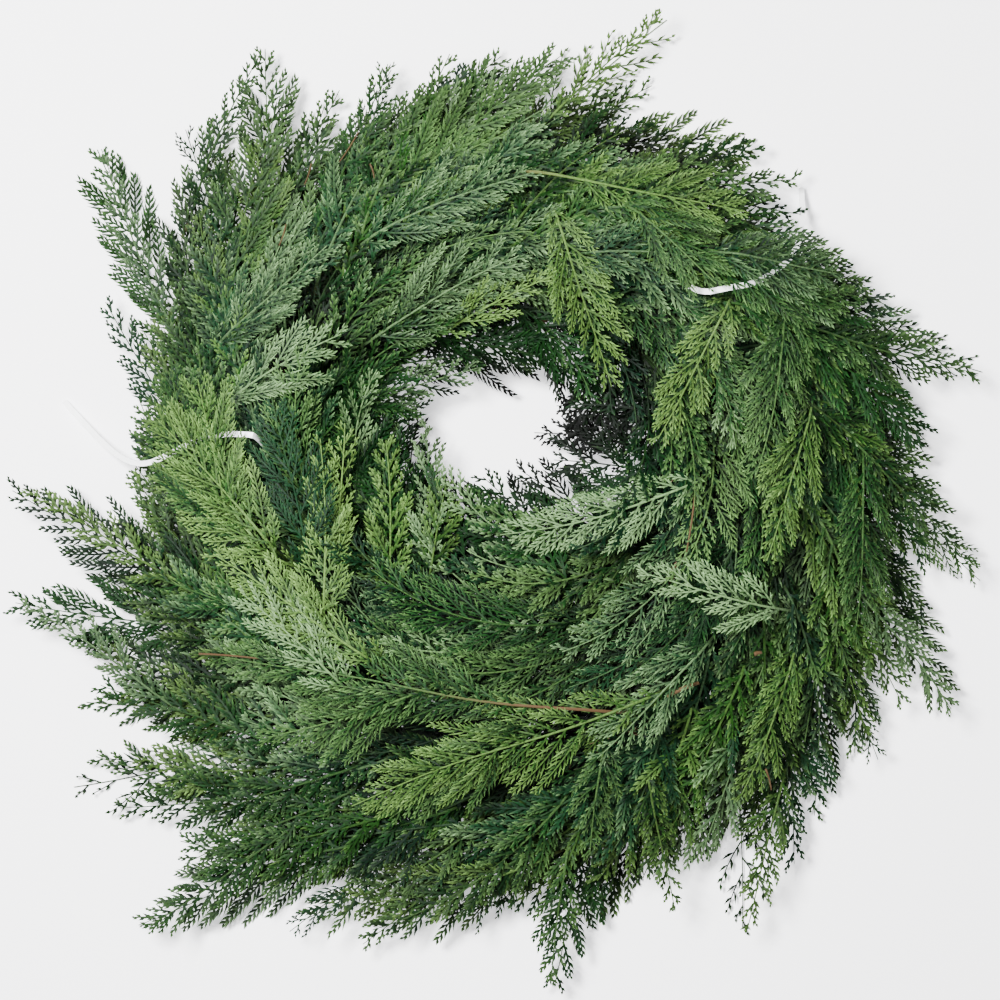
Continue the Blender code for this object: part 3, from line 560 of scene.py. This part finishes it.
def growSpray(spray):
    rng = np.random.default_rng(spray["number"] + 17)
    along, line = ribLine(spray)
    length = spray["length"]
    gap = branch["gap"] / spray["detail"]
    start = np.arange(branch["first"] + spray.get("stem", 0.0), length * branch["last"], gap)
    count = len(start)
    start = start + rng.uniform(-0.42, 0.42, count) * gap
    side = np.where(np.arange(count) % 2 == 0, 1.0, -1.0)
    bareShare = (start[0] - branch["first"]) / length
    share = (start / length - bareShare) / (1 - bareShare)
    widest = branch["widestAt"]
    narrowing = 1 - 0.82 * (np.maximum(0, share - widest) / (1 - widest)) ** 1.4
    swell = np.where(share < widest, smooth(share / widest), narrowing)
    reach = length * branch["reach"] * spray["fullness"] * np.maximum(0.16, swell)
    reach = reach * rng.uniform(0.62, 1.22, count)
    heading = ribHeading(spray, start)
    lean = branch["lean"] * rng.uniform(0.72, 1.25, count) * mix(1.0, 0.8, share)
    foot = np.interp(start, along, line.real) + 1j * np.interp(start, along, line.imag)
    tilt = rng.normal(0.02, 0.22, count)
    branchTint = np.clip(spray["tint"] + rng.normal(0, 0.13, count), 0, 1)
    spots, triangles, data = [], [], []
    total = 0

    def put(points, faces, leaf):
        nonlocal total
        spots.append(points.reshape(-1, 3))
        triangles.append(np.asarray(faces).reshape(-1, 3) + total)
        data.append(leaf.reshape(-1, 4))
        total += spots[-1].shape[0]

    def branchPlace(j, t):
        turned = heading[j] + side[j] * lean[j] * (1 - 0.24 * t / reach[j])
        return foot[j] + t * np.exp(1j * turned)

    def branchHeading(j, t):
        return heading[j] + side[j] * lean[j] * (1 - 0.48 * t / reach[j])

    def heightAt(j, t, place):
        on = start[j] + t * np.cos(lean[j])
        return sprayHeight(spray, place, on, t * np.sin(lean[j])) + t * tilt[j] - 2.2 * t * t

    # Rib, with a ridge along its middle
    n = rib["points"]
    s = np.linspace(-rib["stub"], length, n)
    ribPlace = np.interp(s, along, line.real) + 1j * np.interp(s, along, line.imag)
    across = 1j * np.exp(1j * ribHeading(spray, s))
    width = rib["half"] + rib["woodyHalf"] * min(1.0, spray["woody"])
    width = mix(width, rib["tipHalf"], np.clip(s / length, 0, 1) ** 0.6)
    z = sprayHeight(spray, ribPlace, s, 0 * s)
    points = np.zeros((n, 3, 3))
    for column, (sideways, up) in enumerate(((-1, -0.3), (0, 0.9), (1, -0.3))):
        spot = ribPlace + across * width * sideways
        points[:, column] = np.stack([spot.real, spot.imag, z + width * up], -1)
    k = np.arange(n - 1)[:, None] * 3
    faces = np.concatenate([k + q for q in ([0, 3, 4], [0, 4, 1], [1, 4, 5], [1, 5, 2])])
    growth = np.clip(s / length, 0, 1)
    wood = np.clip(spray["woody"] - growth * 4.0, 0, 1)
    growth = 0.30 + 0.25 * growth + spray["growth"]
    # The fourth value is the painted light value: 0.62 on the rib, more where it is woody
    leaf = np.stack([growth, 0 * s + spray["tint"], wood, 0.62 + 0.2 * wood], -1)
    put(points, faces, np.repeat(leaf[:, None], 3, 1))

    # Side branches
    n = branch["points"]
    j = np.arange(count)[:, None]
    t = reach[:, None] * np.linspace(0, 1, n)[None]
    place = branchPlace(j, t)
    z = heightAt(j, t, place)
    width = branch["half"] * spray["blade"] * (1 - 0.50 * np.linspace(0, 1, n))[None]
    across = 1j * np.exp(1j * branchHeading(j, t)) * width
    points = np.stack([
        np.stack([(place + across).real, (place + across).imag, z], -1),
        np.stack([(place - across).real, (place - across).imag, z], -1),
    ], 2)
    cell = (np.arange(count)[:, None] * n + np.arange(n - 1)[None]).reshape(-1, 1) * 2
    faces = np.concatenate([cell + [0, 1, 3], cell + [0, 3, 2]])
    down = t / reach[:, None]
    growth = spray["growth"] + 0.30 * down + 0.18 * share[:, None]
    woody = np.clip(0.8 - 7 * share[:, None] - t / 0.015, 0, 1) + 0 * t
    leaf = np.stack([growth, branchTint[:, None] + 0 * t, woody, 0.62 + 0 * t], -1)
    put(points, faces, np.repeat(leaf[:, :, None], 2, 2))

    # Branchlets: slender kites with a ridge, the longer ones with a small lobe on each side
    pitch = leaflet["pitch"] / spray["detail"]
    number = np.maximum(3, ((reach * leaflet["until"]) / pitch).astype(int))
    j = np.repeat(np.arange(count), number)
    order = np.arange(len(j)) - np.repeat(np.cumsum(number) - number, number)
    t = (order + leaflet["first"]) * reach[j] * leaflet["until"] / number[j]
    turnSide = np.where(order % 2 == 0, 1.0, -1.0)
    down = t / reach[j]
    size = leaflet["short"] + leaflet["longer"] * smooth(down / 0.30) * (1 - down) ** 0.75
    size *= np.clip(reach[j] / 0.033, 0.50, 1.12) * rng.uniform(0.76, 1.14, len(j))
    base = branchPlace(j, t)
    spread = leaflet["spread"] * rng.uniform(0.90, 1.10, len(j)) * mix(1.0, 0.8, down)
    course = branchHeading(j, t) + turnSide * spread
    baseZ = heightAt(j, t, base)
    ahead = np.exp(1j * course)
    tip = base + size * np.exp(1j * (course - turnSide * 0.10))
    tipZ = heightAt(j, t + size * 0.8, tip) + size * rng.normal(-0.03, 0.16, len(j))
    half = leaflet["half"] * rng.uniform(0.80, 1.15, len(j)) * mix(1.0, 1 / spray["detail"], 0.6)
    half = half * spray["blade"]
    shoulder = base + ahead * size * leaflet["shoulder"]
    shoulderZ = mix(baseZ, tipZ, leaflet["shoulder"]) - half * 0.6
    corners = [
        (base - ahead * 0.0004, baseZ), (shoulder + 1j * ahead * half, shoulderZ),
        (shoulder - 1j * ahead * half, shoulderZ), (tip, tipZ),
    ]
    points = np.stack([np.stack([c.real, c.imag, z], -1) for c, z in corners], 1)
    kite = np.arange(len(j))[:, None] * 4
    faces = np.concatenate([kite + q for q in ([0, 2, 3], [0, 3, 1])])
    growth = spray["growth"] + 0.15 * share[j] + 0.25 * down + rng.normal(0, 0.10, len(j))
    tint = branchTint[j] + rng.normal(0, 0.12, len(j))
    leaf = np.zeros((len(j), 4, 4))
    leaf[:, :, 0] = growth[:, None] + np.array([-0.22, 0.05, 0.05, 0.34])[None]
    leaf[:, :, 1] = tint[:, None]
    # Painted shade: each branchlet's light value is lowest at its base and highest at its tip
    leaf[:, :, 3] = np.array([0.30, 0.70, 0.70, 1.0])[None] * rng.uniform(0.75, 1.1, len(j))[:, None]
    put(points, faces, leaf)
    for lobeSide, where in lobe["places"]:
        long = np.nonzero(size > lobe["fromSize"])[0]
        ahead2, size2 = ahead[long], size[long]
        root = base[long] + ahead2 * size2 * where
        rootZ = mix(baseZ[long], tipZ[long], where)
        end = root + size2 * lobe["size"] * np.exp(1j * (course[long] + lobeSide * lobe["turn"]))
        end = end + 1j * ahead2 * half[long] * 0.5 * lobeSide
        corners = [(root - ahead2 * 0.0005, rootZ), (root + ahead2 * 0.0006, rootZ), (end, rootZ - 0.0001)]
        points = np.stack([np.stack([c.real, c.imag, z], -1) for c, z in corners], 1)
        leaf = np.zeros((len(long), 3, 4))
        leaf[:, :, 0] = growth[long][:, None] + np.array([0, 0, 0.18])[None]
        leaf[:, :, 1] = tint[long][:, None]
        # Painted shade: each lobe's light value is lower at its root than at its end
        leaf[:, :, 3] = np.array([0.5, 0.5, 0.9])[None]
        put(points, np.arange(len(long) * 3).reshape(-1, 3), leaf)

    # Nothing goes far above the coil's top or into the floor, and what lies deep gets less light
    spots = np.concatenate(spots)
    low = heights["lowest"] + 0.0006 * rng.random(len(spots))
    room = heights["crestRoom"]
    crest = heights["top"] + room * np.tanh((spots[:, 2] - heights["top"]) / room)
    spots[:, 2] = np.maximum(np.where(spots[:, 2] > heights["top"], crest, spots[:, 2]), low)
    data = np.concatenate(data)
    across = acrossOf(spots[:, 0] + 1j * spots[:, 1])
    full = topHeight(across)
    depth = smooth((spots[:, 2] / full - shade["from"]) / shade["over"])
    fringe = smooth((across - shade["fringeFrom"]) / shade["fringeOver"])
    data[:, 3] *= mix(depth, shade["fringe"], fringe)
    return spots, np.concatenate(triangles), np.clip(data, 0, 1)


# One piece from its corners in the shared frame, its triangles and its corners' four values
def makeMesh(name, points, faces, leaf, material):
    mesh = bpy.data.meshes.new(name)
    points = points + [offset.real, offset.imag, 0]
    mesh.vertices.add(len(points))
    mesh.vertices.foreach_set("co", points.astype(np.float32).ravel())
    mesh.loops.add(len(faces) * 3)
    mesh.loops.foreach_set("vertex_index", faces.astype(np.int32).ravel())
    mesh.polygons.add(len(faces))
    mesh.polygons.foreach_set("loop_start", np.arange(0, 3 * len(faces), 3, dtype=np.int32))
    mesh.update(calc_edges=True)
    colours = mesh.color_attributes.new("leafData", "FLOAT_COLOR", "POINT")
    colours.data.foreach_set("color", leaf.astype(np.float32).ravel())
    mesh.materials.append(material)
    piece = bpy.data.objects.new(name, mesh)
    bpy.context.scene.collection.objects.link(piece)
    return piece


# Materials

# A shader node with its settings, linked where an input is a socket and set where it is a value
def nodeIn(tree, kind, inputs=(), **settings):
    node = tree.nodes.new(kind)
    for name, value in settings.items():
        setattr(node, name, value)
    for socket, value in inputs:
        if isinstance(value, bpy.types.NodeSocket):
            tree.links.new(value, node.inputs[socket])
        else:
            node.inputs[socket].default_value = value
    return node


def noiseIn(tree, scale, detail):
    spot = nodeIn(tree, "ShaderNodeNewGeometry")
    place = ("Vector", spot.outputs["Position"])
    return nodeIn(tree, "ShaderNodeTexNoise", [place, ("Scale", scale), ("Detail", detail)]).outputs["Fac"]


def rangeIn(tree, value, low=0.0, high=1.0, least=0.0, most=1.0):
    limits = [("From Min", low), ("From Max", high), ("To Min", least), ("To Max", most)]
    return nodeIn(tree, "ShaderNodeMapRange", [("Value", value), *limits]).outputs[0]


def mathIn(tree, operation, *values):
    return nodeIn(tree, "ShaderNodeMath", list(enumerate(values)), operation=operation).outputs[0]


def mixIn(tree, share, first, second):
    return nodeIn(tree, "ShaderNodeMix", [(0, share), (6, first), (7, second)], data_type="RGBA").outputs[2]


def scaleIn(tree, colour, by):
    return nodeIn(tree, "ShaderNodeVectorMath", [(0, colour), ("Scale", by)], operation="SCALE").outputs[0]


# Colour, roughness and relief of scale leaves, shared by the three greens. The colour carries painted shade
# from leafData's fourth value.
cedarLook = {
    "patches": 16.0, "grain": 700.0, "tone": (0.55, 1.45), "young": (0.34, 1.0, 0.0, 0.95),
    "speck": (0.3, 0.7, 0.55, 1.30), "paintedShadePower": 1.6, "paintedShade": (0.0, 1.0, 0.03, 1.9),
    "bark": ((0.042, 0.019, 0.010, 1), (0.080, 0.052, 0.024, 1)), "rough": (0.0, 1.0, 0.42, 0.68),
}


def cedarGroup():
    tree = bpy.data.node_groups.new("cedarTones", "ShaderNodeTree")
    face = tree.interface
    for name in ("Deep", "Middle", "Fresh"):
        face.new_socket(name, in_out="INPUT", socket_type="NodeSocketColor")
    face.new_socket("Colour", in_out="OUTPUT", socket_type="NodeSocketColor")
    face.new_socket("Roughness", in_out="OUTPUT", socket_type="NodeSocketFloat")
    face.new_socket("Relief", in_out="OUTPUT", socket_type="NodeSocketFloat")
    enter = tree.nodes.new("NodeGroupInput")
    leave = tree.nodes.new("NodeGroupOutput")
    leafData = nodeIn(tree, "ShaderNodeAttribute", attribute_name="leafData")
    growth, tint, wood = nodeIn(tree, "ShaderNodeSeparateColor", [(0, leafData.outputs["Color"])]).outputs
    patches = noiseIn(tree, cedarLook["patches"], 3.0)
    grain = noiseIn(tree, cedarLook["grain"], 2.0)
    tone = rangeIn(tree, mathIn(tree, "ADD", tint, patches), *cedarLook["tone"])
    body = mixIn(tree, tone, enter.outputs["Deep"], enter.outputs["Middle"])
    body = mixIn(tree, rangeIn(tree, growth, *cedarLook["young"]), body, enter.outputs["Fresh"])
    body = scaleIn(tree, body, rangeIn(tree, grain, *cedarLook["speck"]))
    # Painted shade: the colour is scaled by the light value kept in leafData's fourth value, darker deep in the
    # coil and at each branchlet's base
    paintedShade = mathIn(tree, "POWER", leafData.outputs["Alpha"], cedarLook["paintedShadePower"])
    body = scaleIn(tree, body, rangeIn(tree, paintedShade, *cedarLook["paintedShade"]))
    body = mixIn(tree, wood, body, mixIn(tree, patches, *cedarLook["bark"]))
    tree.links.new(body, leave.inputs["Colour"])
    tree.links.new(rangeIn(tree, grain, *cedarLook["rough"]), leave.inputs["Roughness"])
    tree.links.new(grain, leave.inputs["Relief"])
    return tree


# A leaf is paler on its back, gets a painted sheen that makes it paler where it is seen from the side, and lets
# a tenth of the light through
leafLook = {
    "blend": 0.35, "back": 0.5, "aside": 0.3, "specular": 0.07, "through": 0.10, "bump": (0.35, 0.0004),
}


def leafMaterial(name, deep, middle, fresh, tones):
    made = bpy.data.materials.new(name)
    made.use_nodes = True
    tree = made.node_tree
    tree.nodes.clear()
    group = nodeIn(tree, "ShaderNodeGroup", node_tree=tones)
    for socket, colour in (("Deep", deep), ("Middle", middle), ("Fresh", fresh)):
        group.inputs[socket].default_value = (*colour, 1)
    spot = nodeIn(tree, "ShaderNodeNewGeometry")
    facing = nodeIn(tree, "ShaderNodeLayerWeight", [("Blend", leafLook["blend"])])
    under = mathIn(tree, "MULTIPLY_ADD", spot.outputs["Backfacing"], leafLook["back"], 1.0)
    # Painted sheen: the colour is made paler where the leaf is seen edge-on (the 'aside' share); the paler back
    # is the leaf's own colour
    pale = mathIn(tree, "MULTIPLY_ADD", facing.outputs["Facing"], leafLook["aside"], under)
    colour = scaleIn(tree, group.outputs["Colour"], pale)
    strength, distance = leafLook["bump"]
    relief = ("Height", group.outputs["Relief"])
    bump = nodeIn(tree, "ShaderNodeBump", [relief, ("Strength", strength), ("Distance", distance)])
    shine = nodeIn(tree, "ShaderNodeBsdfPrincipled", [
        ("Base Color", colour), ("Roughness", group.outputs["Roughness"]), ("Normal", bump.outputs[0]),
        ("Specular IOR Level", leafLook["specular"]),
    ])
    through = nodeIn(tree, "ShaderNodeBsdfTranslucent", [("Color", colour)])
    lights = [(0, leafLook["through"]), (1, shine.outputs[0]), (2, through.outputs[0])]
    both = nodeIn(tree, "ShaderNodeMixShader", lights)
    nodeIn(tree, "ShaderNodeOutputMaterial", [("Surface", both.outputs[0])])
    return made


# A plain surface between two colours, with a fine relief
def plainMaterial(name, low, high, roughness, scale):
    made = bpy.data.materials.new(name)
    made.use_nodes = True
    tree = made.node_tree
    shader = tree.nodes["Principled BSDF"]
    grain = noiseIn(tree, scale, 4.0)
    rough = rangeIn(tree, grain, 0.0, 1.0, roughness - 0.08, roughness + 0.08)
    bump = nodeIn(tree, "ShaderNodeBump", [("Height", grain), ("Strength", 0.4), ("Distance", 0.0003)])
    tree.links.new(mixIn(tree, grain, (*low, 1), (*high, 1)), shader.inputs["Base Color"])
    tree.links.new(rough, shader.inputs["Roughness"])
    tree.links.new(bump.outputs[0], shader.inputs["Normal"])
    return made


# For each slot: the material's name, its deep, middle and fresh colour
greenTones = {
    "deep_green": ("deepGreen", (0.0008, 0.010, 0.0020), (0.0050, 0.030, 0.0050), (0.066, 0.130, 0.036)),
    "blue_green": ("blueGreen", (0.0008, 0.010, 0.0035), (0.0050, 0.028, 0.0088), (0.106, 0.185, 0.074)),
    "fresh_green": ("freshGreen", (0.0015, 0.013, 0.0015), (0.0090, 0.042, 0.0042), (0.094, 0.170, 0.040)),
}
tones = cedarGroup()
greens = {slotName: leafMaterial(*look, tones) for slotName, look in greenTones.items()}
print("materials made")

bunches = layBunches()
addFillers(bunches)
addBase(bunches)
addFronds(bunches)
addEdge(bunches)
for bunch in bunches:
    bunch["twigs"] = []
for slotName, begin, end, thick, lift in twigs:
    nearestBunch(bunches, begin / 1000, slotName)["twigs"].append((begin, end, thick, lift))
triangleCount = 0
for i, bunch in enumerate(bunches):
    kind = "top" if bunch["over"] else "under"
    node = f"cedar_{kind}_bunch_{i + 1:02d}"
    slotName = list(greens)[i % 3]
    grown = [growSpray(spray) for spray in bunch["sprays"]] + [growTwig(*twig) for twig in bunch["twigs"]]
    first = np.cumsum([0] + [len(points) for points, _, _ in grown])
    faces = np.concatenate([tris + begin for (_, tris, _), begin in zip(grown, first)])
    points, leaf = np.concatenate([g[0] for g in grown]), np.concatenate([g[2] for g in grown])
    piece = makeMesh(f"cedarBunch{i + 1:02d}", points, faces, leaf, greens[slotName])
    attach(piece, "root")
    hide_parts(node)
    triangleCount += len(faces)
print("cedar made,", triangleCount, "triangles in", sum(len(b["sprays"]) for b in bunches), "sprays")

# The rope's three twisted strands follow its route

ropeData = {
    "strands": 3, "strandRadius": 0.00150, "layRadius": 0.00150, "pitch": 0.026, "sides": 6, "step": 0.0036,
}


def twistedRope():
    flat = np.array([place for place, _ in ropeLine])
    points = np.stack([flat.real, flat.imag, np.array([height for _, height in ropeLine])], -1)
    lengths = np.linalg.norm(np.diff(points, axis=0), axis=1)
    at = np.concatenate([[0], np.cumsum(lengths)])
    s = np.arange(0, at[-1], ropeData["step"])
    line = np.stack([np.interp(s, at, points[:, k]) for k in range(3)], -1)
    ahead = np.gradient(line, axis=0)
    ahead /= np.linalg.norm(ahead, axis=1)[:, None]
    aside = np.cross(ahead, [0, 0, 1])
    aside /= np.linalg.norm(aside, axis=1)[:, None]
    above = np.cross(aside, ahead)
    spots, faces = [], []
    sides = ropeData["sides"]
    around = np.arange(sides) * 2 * math.pi / sides
    for strand in range(ropeData["strands"]):
        turn = 2 * math.pi * (s / ropeData["pitch"] + strand / ropeData["strands"])
        outward = np.cos(turn)[:, None] * aside + np.sin(turn)[:, None] * above
        middle = line + ropeData["layRadius"] * outward
        ring = np.cos(around)[:, None] * aside[:, None] + np.sin(around)[:, None] * above[:, None]
        begin = sum(len(part) for part in spots)
        spots.append((middle[:, None] + ropeData["strandRadius"] * ring).reshape(-1, 3))
        k = np.arange(len(s) - 1)[:, None] * sides + np.arange(sides)[None]
        right = np.arange(len(s) - 1)[:, None] * sides + (np.arange(sides)[None] + 1) % sides
        quads = np.stack([k, right, right + sides, k + sides], -1).reshape(-1, 4) + begin
        faces += [quads[:, [0, 1, 2]], quads[:, [0, 2, 3]]]
        cap = begin + np.stack([np.zeros(sides - 2, int), np.arange(1, sides - 1), np.arange(2, sides)], -1)
        faces += [cap[:, ::-1], cap + (len(s) - 1) * sides]
    spots, faces = np.concatenate(spots), np.concatenate(faces)
    return makeMesh("twistedRope", spots, faces, np.ones((len(spots), 4)), plain["garland_rope"])


# A cable tie's own form with its long edges kept and the bends between its straight stretches rounded
tieForm = {"weld": 0.00002, "flat": 0.3, "corner": 1.0, "crease": 0.85, "levels": 2}


def smoothTie(node):
    piece = bpy.data.objects.new(node.replace("_", "") + "Smooth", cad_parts[node].data.copy())
    bpy.context.scene.collection.objects.link(piece)
    work = bmesh.new()
    work.from_mesh(piece.data)
    bmesh.ops.remove_doubles(work, verts=work.verts, dist=tieForm["weld"])
    flat = tieForm["flat"]
    bmesh.ops.join_triangles(work, faces=work.faces, angle_face_threshold=flat, angle_shape_threshold=3.1)
    crease = work.edges.layers.float.new("crease_edge")
    for edge in work.edges:
        if len(edge.link_faces) == 2 and edge.calc_face_angle() > tieForm["corner"]:
            edge[crease] = tieForm["crease"]
    work.to_mesh(piece.data)
    work.free()
    piece.data.materials.clear()
    piece.data.materials.append(plain[node])
    rounding = piece.modifiers.new("rounding", "SUBSURF")
    rounding.levels = rounding.render_levels = tieForm["levels"]
    return piece


plain = {
    "garland_rope": plainMaterial("juteRope", (0.20, 0.13, 0.06), (0.45, 0.33, 0.18), 0.85, 900),
    "binding_wire": plainMaterial("bindingWire", (0.01, 0.04, 0.015), (0.04, 0.11, 0.05), 0.4, 300),
    "cable_tie_right": plainMaterial("whiteNylon", (0.80, 0.82, 0.82), (0.90, 0.91, 0.90), 0.35, 120),
}
plain["cable_tie_left"] = plain["cable_tie_right"]
dressed = {node: smoothTie(node) for node in ("cable_tie_right", "cable_tie_left")}
dressed["garland_rope"] = twistedRope()
for node, piece in dressed.items():
    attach(piece, "root")
    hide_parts(node)
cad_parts["binding_wire"].data.materials.clear()
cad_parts["binding_wire"].data.materials.append(plain["binding_wire"])
print("rope and ties made")

# Floor, light and camera

studio = {"floorHalf": 6, "floorGlow": 0.70, "sky": 0.30, "aim": (0, 0, 0.05)}
lamps = [("keyLight", (-0.60, 0.40, 1.85), 0.50, 205), ("fillLight", (1.3, -0.6, 1.8), 1.2, 8)]
view = {"height": 2.4, "middle": 0.03, "width": 0.64, "sensor": 36, "far": 50}

far = studio["floorHalf"]
floorMesh = bpy.data.meshes.new("floor")
floorMesh.from_pydata([(-far, -far, 0), (far, -far, 0), (far, far, 0), (-far, far, 0)], [], [(0, 1, 2, 3)])
floorMesh.materials.append(plainMaterial("paleFloor", (0.86, 0.86, 0.87), (0.90, 0.90, 0.91), 0.75, 6))
glow = floorMesh.materials[0].node_tree.nodes["Principled BSDF"]
glow.inputs["Emission Color"].default_value = (0.97, 0.97, 1.0, 1)
glow.inputs["Emission Strength"].default_value = studio["floorGlow"]
floor = bpy.data.objects.new("floor", floorMesh)
bpy.context.scene.collection.objects.link(floor)

world = bpy.data.worlds.new("studio")
bpy.context.scene.world = world
world.use_nodes = True
sky = world.node_tree.nodes["Background"]
sky.inputs["Color"].default_value = (0.98, 0.97, 1.0, 1)
sky.inputs["Strength"].default_value = studio["sky"]

for name, place, size, power in lamps:
    light = bpy.data.lights.new(name, "AREA")
    light.size = size
    light.energy = power
    lamp = bpy.data.objects.new(name, light)
    lamp.location = place
    lamp.rotation_euler = (Vector(studio["aim"]) - Vector(place)).to_track_quat("-Z", "Y").to_euler()
    bpy.context.scene.collection.objects.link(lamp)

camera = bpy.data.objects.new("camera", bpy.data.cameras.new("camera"))
camera.location = (offset.real, offset.imag, view["height"])
camera.data.lens = view["sensor"] * (view["height"] - view["middle"]) / view["width"]
camera.data.clip_end = view["far"]
bpy.context.scene.collection.objects.link(camera)
bpy.context.scene.camera = camera
